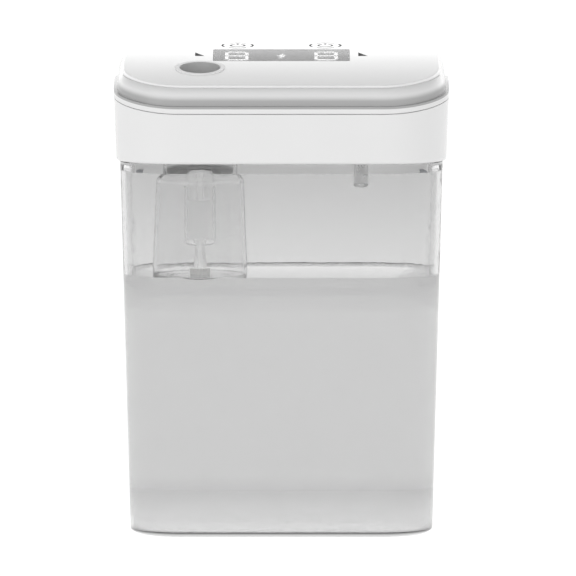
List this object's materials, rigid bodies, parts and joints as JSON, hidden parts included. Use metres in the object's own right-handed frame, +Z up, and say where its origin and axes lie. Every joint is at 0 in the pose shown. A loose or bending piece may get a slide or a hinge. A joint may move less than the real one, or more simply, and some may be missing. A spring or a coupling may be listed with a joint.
{
  "type": "oxygen concentrator",
  "caption": "Tabletop oxygen concentrator: glossy white wedge head with a display and a round outlet on a clear water tank, with a bubbler bottle hanging inside.",
  "frame": {"origin": "centre of the box round the whole part, on the surface that the tank stands on", "axes": "+Z up, -Y the front where the lip is lowest, +X to the right seen from the front"},
  "size_m": [0.1834, 0.1134, 0.2648],
  "materials": {
    "clear_tank": "clear, polished",
    "clear_bottle": "clear, polished",
    "white_shell": "high gloss",
    "panel_white": "high gloss",
    "port_white": "satin",
    "window": "smoked, polished",
    "display_black": "matte",
    "led_white": "lit",
    "icon_grey": "satin",
    "white_inner": "moulded",
    "grille_grey": "moulded",
    "rubber": "matte",
    "silicone": "satin",
    "stem_grey": "satin",
    "dip_clear": "satin",
    "stone": "rough",
    "steel": "satin",
    "aluminium": "satin",
    "copper": "enamelled wire",
    "black_plastic": "matte",
    "foam": "open-cell foam",
    "pcb": "solder mask",
    "battery": "heat-shrink film"
  },
  "bodies": {
    "tank_base": {"tank": "clear_tank", "tank_seal": "rubber"},
    "head": {"base_plate": "white_inner", "battery_pack": "battery", "board_components": "black_plastic", "bottle_seal": "rubber", "bubble_nozzle": "dip_clear", "bubbler_manifold": "port_white", "charge_socket": "black_plastic", "charge_symbol": "led_white", "compressor_end_cap": "aluminium", "compressor_head": "aluminium", "compressor_housing": "aluminium", "compressor_mounts": "rubber", "compressor_screws": "steel", "control_panel": "panel_white", "cover_screws": "steel", "cylinder_liner": "aluminium", "diffuser": "stone", "digit_left": "led_white", "digit_right": "led_white", "dip_tube": "dip_clear", "display_board": "pcb", "display_module": "display_black", "display_window": "window", "fan_frame": "black_plastic", "feed_stem": "stem_grey", "filter_box": "white_inner", "head_skirt": "white_shell", "intake_filter": "foam", "intake_hose": "silicone", "level_icons": "icon_grey", "main_board": "pcb", "outlet_port": "port_white", "oxygen_hose": "silicone", "plate_screws": "steel", "pressure_hose": "silicone", "product_block": "white_inner", "product_hose": "silicone", "reed_plate": "steel", "reservoir": "white_inner", "sieve_canister_a": "aluminium", "sieve_canister_b": "aluminium", "solenoid_front": "black_plastic", "solenoid_rear": "black_plastic", "stator_coil": "copper", "stem_nut": "stem_grey", "top_cover": "white_shell", "touch_ring_left": "icon_grey", "touch_ring_right": "icon_grey", "touch_springs": "steel", "valve_block": "white_inner", "vent_barb": "white_inner", "vent_tube": "silicone"},
    "bottle": {"bubbler_bottle": "clear_bottle"},
    "filter_lid": {"filter_cover": "grille_grey"},
    "fan": {"fan_rotor": "black_plastic"},
    "free_piston": {"piston": "steel"},
    "plunger_front": {"valve_plunger_front": "steel"},
    "plunger_rear": {"valve_plunger_rear": "steel"}
  },
  "joints": [
    {"name": "head_lift", "type": "slide", "parent": "tank_base", "child": "head", "axis": [0, 0, 1], "range_m": [0, 0.09]},
    {"name": "bottle_pull", "type": "slide", "parent": "head", "child": "bottle", "axis": [0, 0, -1], "range_m": [0, 0.06]},
    {"name": "filter_cover_pull", "type": "slide", "parent": "head", "child": "filter_lid", "axis": [0, 1, 0], "range_m": [0, 0.015]},
    {"name": "fan_spin", "type": "hinge", "parent": "head", "child": "fan", "pos_m": [0.0315, 0.0473, 0.2283], "axis": [0, 1, 0], "continuous": true},
    {"name": "piston_stroke", "type": "slide", "parent": "head", "child": "free_piston", "axis": [1, 0, 0], "range_m": [-0.0025, 0.0025], "stiffness_N_per_m": 300},
    {"name": "plunger_front_lift", "type": "slide", "parent": "head", "child": "plunger_front", "axis": [0, 0, 1], "range_m": [0, 0.0012], "stiffness_N_per_m": 80, "springref_m": -0.002},
    {"name": "plunger_rear_lift", "type": "slide", "parent": "head", "child": "plunger_rear", "axis": [0, 0, 1], "range_m": [0, 0.0012], "stiffness_N_per_m": 80, "springref_m": -0.002}
  ]
}
